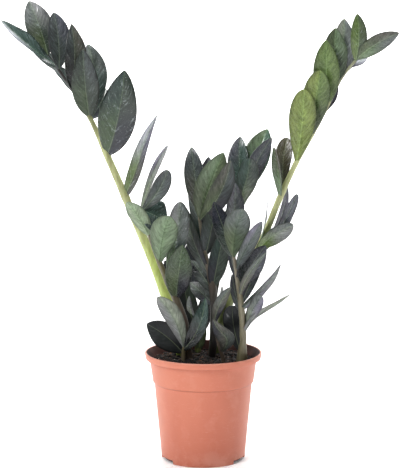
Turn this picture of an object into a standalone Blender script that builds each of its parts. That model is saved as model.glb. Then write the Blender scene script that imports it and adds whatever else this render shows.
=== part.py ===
"""Potted ZZ plant: a tapered plastic nursery pot filled with soil, with leafy stems growing from it."""
import math
from collections import namedtuple

import bmesh
import bpy
from mathutils import Vector

MM = 0.001
GAP = 0.3
HOLE_GAP = 0.4
MERGE = 0.00002
SMOOTH_ANGLE = 40.0

# Pot, in millimetres from its axis and from the ground
POT_HEIGHT = 158.0
RIM_RADIUS = 85.0
MOUTH_RADIUS = 82.0
LIP_DEPTH = 9.5
UPPER_RADIUS = 78.0
STEP_HEIGHT = 114.5
STEP_WIDTH = 2.0
STEP_RADIUS = 73.2
FOOT_RADIUS = 60.5
WALL = 1.8
FLOOR = 2.5
POT_SIDES = 56

# Drain notches round the foot
NOTCH_ANGLES = (-67.5, 67.5, 180.0)
NOTCH_SPAN = 43.0
NOTCH_DEPTH = 12.0
NOTCH_HEIGHT = 5.5
DRAIN_RADIUS = 3.5
DRAIN_SHARE = 0.28
BELOW = 5.0

# Soil
SOIL_EDGE = 144.5
SOIL_MOUND = 2.5
SOIL_LUMP = 0.7
SOIL_CHAMFER = 1.0
SOIL_CLEAR = 0.6
SOIL_RINGS = 7
SOIL_SIDES = 32
STEM_SINK = 34.0
SINK_INWARD = 0.72

# The eye level from which stem and leaflet points are given, as a view of the plane through the pot's axis
EYE_X = -4.7
EYE_DISTANCE = 2931.0
EYE_HEIGHT = 795.0
FRONT = Vector((0.0, -1.0, 0.2)).normalized()

# Leaflet blade
EDGE_HALF = 0.42
RIB_HALF = 0.6
STALK_HALF = 1.25
STALK_WIDTH = 1.7
TIP_HALF = 0.6
FULLNESS = 1.7
STATIONS = (0.0, 0.08, 0.22, 0.4, 0.58, 0.76, 0.91, 1.0)

# Each leaflet gives the height of its foot on the stem, its tip as (x, z, depth), its width, the turn of its
# upper face from facing the front towards the right, how far its middle stands towards the upper face,
# the rise of its halves to each side of the rib, how far its middle swings to its right, where it is widest,
# and how far its lower half curls to its right while its upper half curls to its left
FIELDS = "foot tip width turn bow fold sweep widest curl"
Leaflet = namedtuple("Leaflet", FIELDS, defaults=(5.0, 0.18, 0.0, 0.52, 0.0))

# Each stem's path gives x, z, depth and radius
LEFT_TALL_PATH = (
    (-28, 146, 24, 9.5), (-43, 205, 26, 8.6), (-68, 280, 29, 7.4), (-98, 352, 32, 6.4), (-136, 441, 35, 5.1),
    (-165, 505, 40, 3.2), (-204, 565, 48, 2.2), (-222, 590, 52, 1.8),
)
LEFT_TALL_LEAFLETS = (
    Leaflet(386, (-66, 503, 12), 16.5, -12, 4, 0.35, 1, 0.4, 2),
    Leaflet(445, (-112, 567, 2), 53, -8, 6, 0.2, 6.5, 0.5),
    Leaflet(498, (-139, 541, 78), 26, 15, 5, 0.2, 2),
    Leaflet(501, (-171, 597, 12), 39, 6, 5, 0.22, -1),
    Leaflet(507, (-164, 604, 80), 39, 12, 5, 0.18, 8),
    Leaflet(536, (-213, 570, 92), 28, 122, 4, 0.15),
    Leaflet(540, (-187, 633, 40), 35, 30, 5, 0.25, 2, 0.48),
    Leaflet(563, (-245, 597, 98), 30, 122, 4, 0.15),
    Leaflet(568, (-212, 649, 50), 34, 25, 5, 0.25),
    Leaflet(572, (-287, 638, 20), 34, 58, -1, 0.3),
    Leaflet(589, (-247, 665, 62), 39, 8, 5, 0.2, 1.5),
)
LEFT_INNER_PATH = (
    (-21, 140, 0, 6.2), (-28, 205, -1, 5.6), (-51, 260, -3, 4.6), (-71, 310, -5, 3.4), (-87, 359, -5, 2.2),
    (-91, 371, -5, 1.8),
)
LEFT_INNER_LEAFLETS = (
    Leaflet(236, (-30, 315, -36), 38, 4, 5, 0.12, -1),
    Leaflet(262, (-33, 378, -20), 28, 8, 5, 0.2, 3, 0.6),
    Leaflet(289, (-48, 357, -74), 39, 178, 4, 0.12, 4, 0.58),
    Leaflet(328, (-109, 378, -44), 26, 158, 4, 0.15),
    Leaflet(366, (-53, 349, -40), 46, -14, 6, 0.12),
    Leaflet(365, (-51, 424, -30), 24, 16, 4, 0.25, 4, 0.66),
    Leaflet(366, (-51, 459, 12), 11, -20, 3, 0.3, -2.9, 0.6, 0.2),
)
CENTRE_PATH = (
    (12, 143, 14, 5.8), (15, 185, 12, 5.8), (14, 249, 9, 5.4), (3, 300, 5, 3.6), (-5, 350, 6, 2.2),
    (-6, 366, 8, 1.8),
)
CENTRE_LEAFLETS = (
    Leaflet(228, (-19, 260, 22), 22, 10, 3, 0.15),
    Leaflet(246, (-17, 292, 28), 24, 20, 3, 0.15),
    Leaflet(267, (-29, 373, 2), 21, -30, 4, 0.2, -4),
    Leaflet(272, (30, 338, -8), 20, 18, 4, 0.2, -1),
    Leaflet(310, (19, 378, 2), 30, 12, 4, 0.2),
    Leaflet(300, (-20, 404, 34), 24, 10, 4, 0.2, 2.5),
    Leaflet(352, (39, 438, -34), 31, 8, 5, 0.15, 8),
    Leaflet(355, (29, 449, -10), 41, 4, 5, 0.15, -2),
    Leaflet(360, (8, 443, 32), 24, 10, 4, 0.2),
    Leaflet(364, (-17, 457, 24), 30, -12, 5, 0.25, 1),
)
CENTRE_BACK_PATH = (
    (15, 152, 52, 4.6), (18, 200, 58, 4.0), (20, 240, 65, 2.8), (30, 285, 68, 2.3), (45, 332, 72, 2.3),
    (53, 366, 76, 2.3), (61, 396, 80, 1.8),
)
CENTRE_BACK_LEAFLETS = (
    Leaflet(300, (46, 372, 110), 30, 150, 4),
    Leaflet(330, (46, 405, 44), 27, 14, 4, 0.3, -1),
    Leaflet(362, (67, 441, 44), 31, 4, 4, 0.2, -0.5, 0.68, -1.5),
    Leaflet(374, (74, 442, 104), 17, 20, 4, 0.2, -1),
    Leaflet(386, (98, 470, 76), 26, 14, 4, 0.15, -6),
    Leaflet(392, (53, 472, 96), 32, -15, 4, 0.3, -4),
    Leaflet(394, (92, 483, 100), 40, -8, 4, 0.2, -1.5),
)
RIGHT_FRONT_PATH = (
    (56, 134, -28, 8.4), (57, 160, -32, 6.6), (58, 178, -36, 4.8), (55, 227, -45, 4.2), (47, 281, -57, 2.8),
    (44, 299, -60, 2.2),
)
RIGHT_FRONT_LEAFLETS = (
    Leaflet(152, (36, 222, 2), 26, -12, 4, 0.2, -4, 0.6),
    Leaflet(184, (85, 240, -66), 20, 160, 4, 0.15, 4.5, 0.68),
    Leaflet(184, (125, 242, -52), 14, -120, 4.5, 0.25, 3, 0.52, 5),
    Leaflet(215, (42, 272, -38), 13, -30, 3, 0.2, -1),
    Leaflet(220, (112, 287, -50), 16, 66, 4, 0.25, 1.5),
    Leaflet(228, (86, 294, -40), 15, 20, 4, 0.2, -3),
    Leaflet(241, (91, 304, -92), 11, 20, 4, 0.2, -7),
    Leaflet(262, (37, 308, -48), 9, -30, 3, 0.2, 1),
    Leaflet(252, (90, 314, -58), 32, 14, 4, 0.15, -3),
    Leaflet(279, (85, 349, -112), 20, 160, 4, 0.15, 3),
    Leaflet(295, (15, 378, -46), 26, -10, 4, 0.15, 1),
    Leaflet(297, (58, 367, -100), 36, 176, 4, 0.1, 5, 0.6),
)
RIGHT_TALL_PATH = (
    (16, 148, 34, 7.8), (30, 212, 34, 7.0), (40, 235, 33, 6.6), (85, 322, 24, 5.2), (109, 381, 16, 4.6),
    (134, 436, 7, 3.8), (167, 496, -5, 3.0), (195, 553, -16, 2.2), (219, 584, -22, 1.8),
)
RIGHT_TALL_LEAFLETS = (
    Leaflet(303, (130, 344, 6), 28, 32, 4, 0.3, -8.5, 0.66),
    Leaflet(308, (92, 381, -14), 16, 86, 3, 0.15),
    Leaflet(300, (135, 389, 14), 16, 26, 4, 0.25, 8, 0.62, 2),
    Leaflet(304, (121, 399, 34), 12, 36, 4, 0.2, 12, 0.52, 2),
    Leaflet(384, (101, 457, 0), 16, -45, 4, 0.45, 6.5, 0.58),
    Leaflet(396, (120, 471, 28), 25, -14, 4, 0.25, -4, 0.64),
    Leaflet(434, (144, 540, -34), 37, -5, 5, 0.2, 3, 0.66),
    Leaflet(472, (167, 567, -36), 38, -2, 5, 0.18, -1, 0.64),
    Leaflet(509, (189, 554, 32), 16, 30, 4, 0.2),
    Leaflet(520, (175, 610, -34), 37, -4, 5, 0.2, -1.5),
    Leaflet(545, (188, 627, -20), 36, 6, 5, 0.2, -3.5),
    Leaflet(560, (200, 640, 2), 30, 12, 5, 0.3, -2),
    Leaflet(566, (220, 618, 12), 20, 10, 4, 0.2),
    Leaflet(572, (233, 590, 22), 14, 130, 3, 0.15),
    Leaflet(581, (218, 647, -30), 23, 0, 5, 0.2, 3),
    Leaflet(583, (278, 620, -44), 24, 8, 4, 0.2, -4),
)
LEFT_SHOOT_PATH = ((-29, 138, -12, 3.4), (-29, 156, -12, 3.0), (-28, 166, -13, 2.4))
LEFT_SHOOT_LEAFLETS = (
    Leaflet(156, (-82, 199, -4), 36, -10, 4, 0.12, 3),
    Leaflet(161, (3, 237, -30), 27, -30, 4, 0.2, 11),
    Leaflet(164, (-66, 239, -48), 27, 165, 4, 0.15, -7, 0.58),
)
MIDDLE_SHOOT_PATH = (
    (30, 139, -26, 3.6), (28, 152, -27, 3.0), (22, 170, -28, 2.4), (17, 200, -29, 2.0), (17, 216, -30, 1.6),
)
MIDDLE_SHOOT_LEAFLETS = (
    Leaflet(158, (14, 206, -72), 23, 8, 4, 0.15, 9.5, 0.42, 4),
    Leaflet(203, (40, 253, -60), 16, -15, 4, 0.15, -3),
    Leaflet(214, (27, 255, -28), 12, 60, 3, 0.2),
)
BACK_SHOOT_PATH = ((-7, 152, 50, 5.0), (-9, 180, 55, 4.2), (-12, 215, 64, 3.2), (-14, 240, 70, 2.2))
BACK_SHOOT_LEAFLETS = (
    Leaflet(158, (-1, 205, 42), 16, 10, 3, 0.15),
    Leaflet(170, (-62, 198, 84), 28, 20, 4),
    Leaflet(192, (8, 240, 92), 15, 150, 3),
    Leaflet(203, (-20, 240, 46), 9, -20, 3, 0.15, -3),
    Leaflet(218, (-31, 278, 60), 22, 10, 4, 0.15),
    Leaflet(228, (-44, 288, 104), 30, 170, 4),
    Leaflet(236, (-10, 308, 92), 28, 160, 4),
)
STEMS = (
    ("stem_left_tall", LEFT_TALL_PATH, LEFT_TALL_LEAFLETS),
    ("stem_left_inner", LEFT_INNER_PATH, LEFT_INNER_LEAFLETS),
    ("stem_centre", CENTRE_PATH, CENTRE_LEAFLETS),
    ("stem_centre_back", CENTRE_BACK_PATH, CENTRE_BACK_LEAFLETS),
    ("stem_right_front", RIGHT_FRONT_PATH, RIGHT_FRONT_LEAFLETS),
    ("stem_right_tall", RIGHT_TALL_PATH, RIGHT_TALL_LEAFLETS),
    ("shoot_left", LEFT_SHOOT_PATH, LEFT_SHOOT_LEAFLETS),
    ("shoot_middle", MIDDLE_SHOOT_PATH, MIDDLE_SHOOT_LEAFLETS),
    ("shoot_back", BACK_SHOOT_PATH, BACK_SHOOT_LEAFLETS),
)
STEM_SIDES = 8
STEM_RINGS_PER_SPAN = 2


def clear_scene():
    """Removes every object, so that the plant stands alone."""
    for item in list(bpy.data.objects):
        bpy.data.objects.remove(item, do_unlink=True)


def make_material(name, colour, roughness, metallic=0.0):
    """A plain Principled BSDF finish."""
    material = bpy.data.materials.new(name)
    material.use_nodes = True
    shader = material.node_tree.nodes["Principled BSDF"]
    shader.inputs["Base Color"].default_value = (*colour, 1.0)
    shader.inputs["Roughness"].default_value = roughness
    shader.inputs["Metallic"].default_value = metallic
    return material


def make_object(name, points, faces):
    """A mesh object from points in millimetres."""
    mesh = bpy.data.meshes.new(name)
    mesh.from_pydata([tuple(MM * value for value in point) for point in points], [], faces)
    mesh.update()
    item = bpy.data.objects.new(name, mesh)
    bpy.context.scene.collection.objects.link(item)
    return item


def turn_profile(name, profile, sides):
    """Spins an open profile of (radius, height), whose ends lie on the axis, into a closed solid."""
    mesh = bpy.data.meshes.new(name)
    shape = bmesh.new()
    points = [shape.verts.new((radius * MM, 0.0, height * MM)) for radius, height in profile]
    edges = [shape.edges.new(pair) for pair in zip(points, points[1:])]
    bmesh.ops.spin(
        shape, geom=points + edges, cent=(0, 0, 0), axis=(0, 0, 1), angle=math.tau, steps=sides, use_merge=True,
    )
    bmesh.ops.remove_doubles(shape, verts=shape.verts, dist=MERGE)
    bmesh.ops.recalc_face_normals(shape, faces=shape.faces)
    shape.to_mesh(mesh)
    shape.free()
    item = bpy.data.objects.new(name, mesh)
    bpy.context.scene.collection.objects.link(item)
    return item


def apply_boolean(item, others, operation):
    """Joins or cuts a piece with a collection of others, keeps the result as its mesh, and removes the others."""
    group = bpy.data.collections.new("operands")
    bpy.context.scene.collection.children.link(group)
    for other in others:
        group.objects.link(other)
    boolean = item.modifiers.new("join", "BOOLEAN")
    boolean.operation = operation
    boolean.operand_type = "COLLECTION"
    boolean.collection = group
    depsgraph = bpy.context.evaluated_depsgraph_get()
    result = bpy.data.meshes.new_from_object(item.evaluated_get(depsgraph))
    item.modifiers.remove(boolean)
    item.data = result
    for other in others:
        bpy.data.objects.remove(other, do_unlink=True)
    bpy.data.collections.remove(group)


def outer_radius(height):
    """Radius of the pot's outside below its lip, with the step that rests a pot inside another."""
    if height < STEP_HEIGHT:
        return FOOT_RADIUS + (STEP_RADIUS - STEP_WIDTH - FOOT_RADIUS) * height / STEP_HEIGHT
    rise = (height - STEP_HEIGHT) / (POT_HEIGHT - LIP_DEPTH - STEP_HEIGHT)
    return STEP_RADIUS + (UPPER_RADIUS - STEP_RADIUS) * rise


def sector(name, angle, span, inner, outer, low, high, slices=6):
    """A closed block between two radii, two heights and two directions round the axis."""
    points = []
    for step in range(slices + 1):
        turn = math.radians(angle - 90.0 + span * (step / slices - 0.5))
        for radius in (inner, outer):
            for height in (low, high):
                points.append((radius * math.cos(turn), radius * math.sin(turn), height))
    faces = [(0, 2, 3, 1)]
    for step in range(slices):
        a = 4 * step
        faces += [(a, a + 4, a + 6, a + 2), (a + 1, a + 3, a + 7, a + 5)]
        faces += [(a + 2, a + 6, a + 7, a + 3), (a, a + 1, a + 5, a + 4)]
    last = 4 * slices
    faces.append((last, last + 1, last + 3, last + 2))
    return make_object(name, points, faces)


def notch_blocks(inset, extra):
    """The three raised blocks of the floor over the drain notches, grown by a margin."""
    inner = FOOT_RADIUS - NOTCH_DEPTH - inset
    span = NOTCH_SPAN + math.degrees(2.0 * inset / FOOT_RADIUS)
    blocks = []
    for index, angle in enumerate(NOTCH_ANGLES):
        outer = outer_radius(0.0) - 0.6 * WALL
        high = NOTCH_HEIGHT + WALL + extra
        blocks.append(sector(f"notch_block_{index}", angle, span, inner, outer, FLOOR * 0.5, high))
    return blocks


def make_pot():
    """Injection-moulded pot: tapered wall, stacking step, turned-out rim, and a notched foot with drains."""
    lip_low = POT_HEIGHT - LIP_DEPTH
    profile = [
        (0.0, 0.0), (FOOT_RADIUS - 1.0, 0.0), (FOOT_RADIUS, 1.0), (outer_radius(40.0), 40.0),
        (outer_radius(80.0), 80.0), (outer_radius(STEP_HEIGHT - 1.0), STEP_HEIGHT - 1.0),
        (STEP_RADIUS, STEP_HEIGHT + 1.2), (UPPER_RADIUS, lip_low), (RIM_RADIUS - 1.8, lip_low - 0.3),
        (RIM_RADIUS - 1.0, lip_low + 0.6), (RIM_RADIUS, POT_HEIGHT - 1.8), (RIM_RADIUS - 0.9, POT_HEIGHT - 0.3),
        (RIM_RADIUS - 1.6, POT_HEIGHT), (MOUTH_RADIUS + 0.5, POT_HEIGHT - 0.3), (MOUTH_RADIUS, POT_HEIGHT - 1.2),
        (UPPER_RADIUS - WALL, lip_low - 2.0), (STEP_RADIUS - WALL, STEP_HEIGHT + 2.4),
        (STEP_RADIUS - STEP_WIDTH - WALL, STEP_HEIGHT - 1.0), (FOOT_RADIUS - WALL, FLOOR + 0.5),
        (FOOT_RADIUS - WALL - 0.6, FLOOR), (0.0, FLOOR),
    ]
    pot = turn_profile("pot", profile, POT_SIDES)
    apply_boolean(pot, notch_blocks(WALL, 0.0), "UNION")
    cutters = []
    for index, angle in enumerate(NOTCH_ANGLES):
        inner = FOOT_RADIUS - NOTCH_DEPTH
        cutters.append(sector(f"notch_{index}", angle, NOTCH_SPAN, inner, RIM_RADIUS, -BELOW, NOTCH_HEIGHT))
        middle = FOOT_RADIUS - 0.5 * NOTCH_DEPTH
        width = math.degrees(2.0 * DRAIN_RADIUS / middle)
        low, high = NOTCH_HEIGHT - WALL, NOTCH_HEIGHT + 2.0 * WALL
        for side in (-1, 1):
            turn = angle + side * DRAIN_SHARE * NOTCH_SPAN
            name = f"drain_{index}_{side}"
            cutters.append(sector(name, turn, width, middle - DRAIN_RADIUS, middle + DRAIN_RADIUS, low, high, 2))
    apply_boolean(pot, cutters, "DIFFERENCE")
    finish(pot, "pot_plastic", (0.73, 0.31, 0.22), 0.55)
    return pot


def soil_height(x, y):
    """Top of the soil: a low mound with small lumps, level at the pot's wall."""
    reach = min(1.0, math.hypot(x, y) / (UPPER_RADIUS - WALL))
    lumps = math.sin(0.21 * x + 1.3) * math.cos(0.17 * y - 0.4) + 0.6 * math.sin(0.33 * x - 0.29 * y)
    return SOIL_EDGE + SOIL_MOUND * (1.0 - reach ** 2) + SOIL_LUMP * lumps * (1.0 - reach ** 4)


def make_soil(stems):
    """Potting soil that fills the pot, with a plain hole for each stem."""
    inset = WALL + GAP
    top_radius = UPPER_RADIUS - inset - SOIL_CLEAR
    points = [(0.0, 0.0, soil_height(0.0, 0.0))]
    for ring in range(1, SOIL_RINGS + 1):
        radius = top_radius * ring / SOIL_RINGS
        for side in range(SOIL_SIDES):
            turn = math.tau * side / SOIL_SIDES
            x, y = radius * math.cos(turn), radius * math.sin(turn)
            points.append((x, y, soil_height(x, y)))
    walls = (
        (STEP_RADIUS - inset - GAP, STEP_HEIGHT + 3.0),
        (STEP_RADIUS - STEP_WIDTH - inset - GAP, STEP_HEIGHT - 1.5),
        (FOOT_RADIUS - inset - SOIL_CLEAR, FLOOR + GAP + SOIL_CLEAR),
        (FOOT_RADIUS - inset - SOIL_CLEAR - SOIL_CHAMFER, FLOOR + GAP),
    )
    for radius, height in walls:
        for side in range(SOIL_SIDES):
            turn = math.tau * side / SOIL_SIDES
            points.append((radius * math.cos(turn), radius * math.sin(turn), height))
    points.append((0.0, 0.0, FLOOR + GAP))
    faces = []
    for side in range(SOIL_SIDES):
        after = (side + 1) % SOIL_SIDES
        faces.append((0, 1 + side, 1 + after))
        for ring in range(SOIL_RINGS + len(walls) - 1):
            a, b = 1 + ring * SOIL_SIDES, 1 + (ring + 1) * SOIL_SIDES
            faces += [(a + side, b + side, b + after), (a + side, b + after, a + after)]
        last = 1 + (SOIL_RINGS + len(walls) - 1) * SOIL_SIDES
        faces.append((last + side, len(points) - 1, last + after))
    soil = make_object("soil", points, faces)
    cutters = notch_blocks(WALL + HOLE_GAP, HOLE_GAP)
    for name, path, _ in stems:
        cutters.append(make_hole(f"{name}_hole", path))
    apply_boolean(soil, cutters, "DIFFERENCE")
    finish(soil, "soil", (0.028, 0.02, 0.016), 0.95)
    return soil


def place(x, z, depth):
    """The point at a depth behind the pot's axis, on the sight line that meets the axis's plane at x and z."""
    reach = 1.0 + depth / EYE_DISTANCE
    return Vector((EYE_X + (x - EYE_X) * reach, depth, EYE_HEIGHT + (z - EYE_HEIGHT) * reach))


def smooth_path(path, per_span):
    """Points and radii along a smooth curve through a stem's path."""
    knots = [(*place(x, z, depth), radius) for x, z, depth, radius in path]
    knots = [Vector(knot) for knot in knots]
    ends = [2.0 * knots[0] - knots[1]] + knots + [2.0 * knots[-1] - knots[-2]]
    samples = []
    for index in range(len(knots) - 1):
        a, b, c, d = ends[index:index + 4]
        for step in range(per_span):
            t = step / per_span
            samples.append(0.5 * (2 * b + (c - a) * t + (2 * a - 5 * b + 4 * c - d) * t ** 2
                                  + (3 * b - a - 3 * c + d) * t ** 3))
    samples.append(knots[-1])
    return samples


def tube(samples, sides, extra=0.0):
    """Points and faces of a closed tube through samples of x, y, z and radius."""
    centres = [Vector(sample[:3]) for sample in samples]
    across = Vector((1.0, 0.0, 0.0))
    points = []
    for index, centre in enumerate(centres):
        ahead = centres[min(index + 1, len(centres) - 1)] - centres[max(index - 1, 0)]
        ahead.normalize()
        across = (across - ahead * across.dot(ahead)).normalized()
        beside = ahead.cross(across)
        for side in range(sides):
            turn = math.tau * side / sides
            offset = across * math.cos(turn) + beside * math.sin(turn)
            points.append(centre + offset * (samples[index][3] + extra))
    faces = [tuple(reversed(range(sides)))]
    for index in range(len(centres) - 1):
        a, b = index * sides, (index + 1) * sides
        for side in range(sides):
            after = (side + 1) % sides
            faces += [(a + side, a + after, b + after), (a + side, b + after, b + side)]
    last = (len(centres) - 1) * sides
    faces.append(tuple(range(last, last + sides)))
    return points, faces


def stem_samples(path):
    """A stem's samples, with a straight sunk end that goes down into the soil."""
    samples = smooth_path(path, STEM_RINGS_PER_SPAN)
    foot = samples[0].copy()
    foot[0] *= SINK_INWARD
    foot[1] *= SINK_INWARD
    foot[2] -= STEM_SINK
    return [foot] + samples


def make_hole(name, path):
    """Cutter for a stem's hole, a gap wider all round and under the stem's end."""
    samples = stem_samples(path)[:4]
    samples[0] = samples[0] - Vector((0.0, 0.0, GAP, 0.0))
    points, faces = tube(samples, STEM_SIDES, HOLE_GAP)
    return make_object(name, points, faces)


def half_width(t, width, widest):
    """Half of a blade's width at t of its length: a narrow stalk that swells to an ellipse with a drawn-out tip."""
    rise, fall = widest * FULLNESS, (1.0 - widest) * FULLNESS
    peak = widest ** rise * (1.0 - widest) ** fall
    return 0.5 * width * t ** rise * (1.0 - t) ** fall / peak + STALK_WIDTH * (1.0 - t) ** 3 + TIP_HALF * t ** 3


def blade(foot, tip, leaflet):
    """Points and faces of one leaflet: six points round each station, split alike on both faces."""
    along = (tip - foot).normalized()
    facing = (FRONT - along * FRONT.dot(along)).normalized()
    right = along.cross(facing)
    turn = math.radians(leaflet.turn)
    up = facing * math.cos(turn) + right * math.sin(turn)
    beside = along.cross(up)
    points = []
    for t in STATIONS:
        arch, slope = 4.0 * t * (1.0 - t), 4.0 - 8.0 * t
        curl, curl_slope = math.sin(math.tau * t), math.tau * math.cos(math.tau * t)
        aside = leaflet.sweep * arch + leaflet.curl * curl
        turning = leaflet.sweep * slope + leaflet.curl * curl_slope
        centre = foot.lerp(tip, t) + up * leaflet.bow * arch + beside * aside
        ahead = ((tip - foot) + up * leaflet.bow * slope + beside * turning).normalized()
        normal = (up - ahead * up.dot(ahead)).normalized()
        side = ahead.cross(normal)
        half = half_width(t, leaflet.width, leaflet.widest)
        rib = EDGE_HALF + RIB_HALF * (1.0 - t) + STALK_HALF * (1.0 - t) ** 6
        rise = leaflet.fold * half * math.sin(math.pi * t) ** 0.5
        edge = EDGE_HALF + STALK_HALF * (1.0 - t) ** 8
        for place_across, height in ((-1, edge), (0, rib), (1, edge), (1, -edge), (0, -rib), (-1, -edge)):
            lift = height + rise * abs(place_across)
            points.append(centre + side * half * place_across + normal * lift)
    faces = [(5, 4, 1, 0), (4, 3, 2, 1)]
    for station in range(len(STATIONS) - 1):
        a, b = 6 * station, 6 * (station + 1)
        for index in range(6):
            after = (index + 1) % 6
            if index in (0, 3, 5):
                faces += [(a + index, a + after, b + index), (a + after, b + after, b + index)]
            else:
                faces += [(a + index, a + after, b + after), (a + index, b + after, b + index)]
    last = 6 * (len(STATIONS) - 1)
    faces += [(last, last + 1, last + 4, last + 5), (last + 1, last + 2, last + 3, last + 4)]
    return points, faces


def foot_on_stem(samples, height):
    """The point of the stem's middle line that is seen at a height."""
    for below, above in zip(samples, samples[1:]):
        low, high = (EYE_HEIGHT + (s[2] - EYE_HEIGHT) / (1.0 + s[1] / EYE_DISTANCE) for s in (below, above))
        if height <= high:
            share = max(0.0, (height - low) / (high - low))
            return Vector(below[:3]).lerp(Vector(above[:3]), share)
    return Vector(samples[-1][:3])


def make_stem(name, path, leaflets):
    """One leafy stem: its stalk with the leaflets fused to it."""
    samples = stem_samples(path)
    points, faces = tube(samples, STEM_SIDES)
    stem = make_object(name, points, faces)
    blades = []
    for index, leaflet in enumerate(leaflets):
        foot = foot_on_stem(samples, leaflet.foot)
        points, faces = blade(foot, place(*leaflet.tip), leaflet)
        blades.append(make_object(f"{name}_leaflet_{index}", points, faces))
    apply_boolean(stem, blades, "UNION")
    finish(stem, f"{name}_green", (0.06, 0.085, 0.05), 0.35)
    return stem


def finish(item, material_name, colour, roughness):
    """Gives a piece its material, plain triangles and smooth shading with sharp edges kept."""
    shape = bmesh.new()
    shape.from_mesh(item.data)
    bmesh.ops.remove_doubles(shape, verts=shape.verts, dist=MERGE)
    bmesh.ops.triangulate(shape, faces=shape.faces)
    shape.to_mesh(item.data)
    shape.free()
    item.data.materials.clear()
    item.data.materials.append(make_material(material_name, colour, roughness))
    item.data.shade_smooth()
    item.data.set_sharp_from_angle(angle=math.radians(SMOOTH_ANGLE))


clear_scene()
make_pot()
make_soil(STEMS)
for stem_name, stem_path, stem_leaflets in STEMS:
    make_stem(stem_name, stem_path, stem_leaflets)
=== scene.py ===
"""Looks of a potted ZZ plant: pot, soil, stalks and leaflets dress the plain solids in a pale studio.

Sizes are in millimetres and become metres when a mesh is laid.
"""
import math
from collections import namedtuple

import bpy
import numpy as np
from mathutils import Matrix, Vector


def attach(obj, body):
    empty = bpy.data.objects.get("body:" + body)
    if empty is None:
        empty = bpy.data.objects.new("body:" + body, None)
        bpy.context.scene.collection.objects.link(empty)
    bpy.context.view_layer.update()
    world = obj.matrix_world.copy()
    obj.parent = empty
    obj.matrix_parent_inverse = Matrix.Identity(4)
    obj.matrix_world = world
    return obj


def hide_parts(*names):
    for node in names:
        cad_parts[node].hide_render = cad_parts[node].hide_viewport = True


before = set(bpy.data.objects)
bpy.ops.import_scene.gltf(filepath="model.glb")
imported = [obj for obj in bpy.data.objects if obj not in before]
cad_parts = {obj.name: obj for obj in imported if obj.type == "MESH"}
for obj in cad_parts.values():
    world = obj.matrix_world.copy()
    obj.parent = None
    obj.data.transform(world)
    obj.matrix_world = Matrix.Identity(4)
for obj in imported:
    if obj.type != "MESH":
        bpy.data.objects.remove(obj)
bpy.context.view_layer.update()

# Camera
# A long lens stands 2.9 m in front of the pot and looks 9 degrees down, as the pot's ellipses in the
# photograph say.
MM = 0.001
EYE = np.array((-4.7, -2931.5, 795.4))
EYE_TILT = 81.0
LENS = 185.31
SENSOR = 36.0
LENS_END = 60.0


def placed(name, data):
    """A new object in the scene that holds some data."""
    item = bpy.data.objects.new(name, data)
    bpy.context.scene.collection.objects.link(item)
    return item


lens = bpy.data.cameras.new("camera")
lens.lens = LENS
lens.sensor_fit = "HORIZONTAL"
lens.sensor_width = SENSOR
lens.clip_end = LENS_END
camera = placed("camera", lens)
camera.location = EYE * MM
camera.rotation_euler = (math.radians(EYE_TILT), 0.0, 0.0)
bpy.context.scene.camera = camera

# Pot
# One injection moulding in terracotta-coloured polypropylene: a tapered wall with a stacking step, a
# turned-out lip, and a foot cut away in three places, with two drains over each. Its skin comes satin
# from the mould.
POT_HEIGHT = 158.0
RIM_RADIUS = 85.0
MOUTH_RADIUS = 82.0
LIP_DEPTH = 9.5
LIP_ROUND = 1.5
UPPER_RADIUS = 78.0
STEP_HEIGHT = 114.5
STEP_WIDTH = 2.0
STEP_RADIUS = 73.2
STEP_SLOPE = 2.2
FOOT_RADIUS = 60.5
WALL = 1.8
FLOOR = 2.5
NOTCH_ANGLES = (-67.5, 67.5, 180.0)
NOTCH_SPAN = 43.0
NOTCH_DEPTH = 12.0
NOTCH_HEIGHT = 5.5
DRAIN_SIZE = 7.0
DRAIN_DEPTH = 3.0
DRAIN_SHARE = 0.28
POT_COLUMNS = 180
FOOT_ROUND = 0.9
LIFT_TOP = 14.0
CRISP = 0.1
EDGE_TURN = 0.12
# Painted shade: darkened bands of height under the stacking step and in the groove under the lip.
STEP_CREASE_SHADE = (112.8, 113.6, 115.0, 115.8)
LIP_CREASE_SHADE = (146.2, 147.6, 148.6, 149.2)
RIM_EDGE = (155.5, 157.8)
FOOT_DUST = (26.0, 4.0)
# Below the first of these heights the wall is painted darker towards the foot, a painted shade.
FOOT_SHADE = (70.0, 0.0)
SCUFF_SHARE = 0.22
RIM_SHARE = 0.55
DUST_SHARE = 0.6
CREASE_SHADE_SHARE = 0.38
TERRACOTTA = (203, 124, 99)
TERRACOTTA_PALE = (215, 150, 131)
TERRACOTTA_DEEP = (192, 110, 87)
TERRACOTTA_CREASE_SHADE = (138, 70, 54)
# A soil stain inside the pot, darkened further as painted shade; the drain recesses get it as painted shade.
SOIL_STAIN_AND_SHADE = (58, 34, 32)


def linear(colour, alpha=True):
    """Scene-linear colour of an sRGB colour from 0 to 255: the sRGB curve undone in each channel."""
    share = np.asarray(colour, float) / 255.0
    value = np.where(share <= 0.04045, share / 12.92, ((share + 0.055) / 1.055) ** 2.4)
    return (*value.tolist(), 1.0) if alpha else value


def ease(share):
    """Rises from 0 to 1 as the share does, level at both ends."""
    share = np.clip(share, 0.0, 1.0)
    return share * share * (3.0 - 2.0 * share)


def arc(middle, radius, start, end, count):
    """Points on a circle round a middle, evenly from one angle in degrees to another."""
    turn = np.radians(np.linspace(start, end, count))
    return np.column_stack((middle[0] + radius * np.cos(turn), middle[1] + radius * np.sin(turn)))


def skin_faces(rows, columns):
    """Faces of a skin of closed rings: quads from ring to ring, and a fan to a pole past either end."""
    ring = np.arange(rows * columns).reshape(rows, columns)
    after = np.roll(ring, -1, axis=1)
    quads = np.stack((ring[:-1], after[:-1], after[1:], ring[1:]), axis=-1).reshape(-1, 4)
    first = np.full(columns, rows * columns)
    fans = np.vstack((
        np.column_stack((first, after[0], ring[0])),
        np.column_stack((ring[-1], after[-1], first + 1)),
    ))
    return quads, fans


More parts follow.
